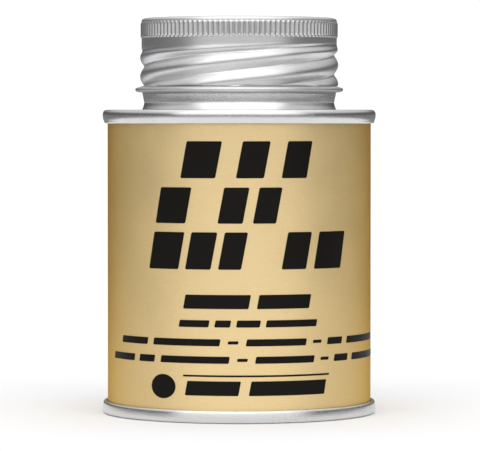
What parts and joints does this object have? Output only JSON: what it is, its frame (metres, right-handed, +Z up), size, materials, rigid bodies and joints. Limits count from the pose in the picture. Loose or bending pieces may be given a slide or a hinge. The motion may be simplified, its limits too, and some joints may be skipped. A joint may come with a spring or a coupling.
{
  "type": "screw-top spice tin",
  "caption": "Shut round tin for whole spices, with a printed wall between rolled seams, a narrow neck and a ribbed metal screw cap.",
  "frame": {"origin": "middle of the circle that the foot's seam stands on", "axes": "+Z up through the cap, -Y towards the front of the printed wall, +X to that front's right"},
  "size_m": [0.06, 0.06, 0.0866],
  "materials": {
    "printed_wall": "satin gold print with black",
    "tinplate": "bright",
    "cap_metal": "satin"
  },
  "bodies": {
    "root": {"can_wall": "printed_wall", "bottom_end": "tinplate", "top_end": "tinplate", "screw_cap": "cap_metal"}
  },
  "joints": []
}
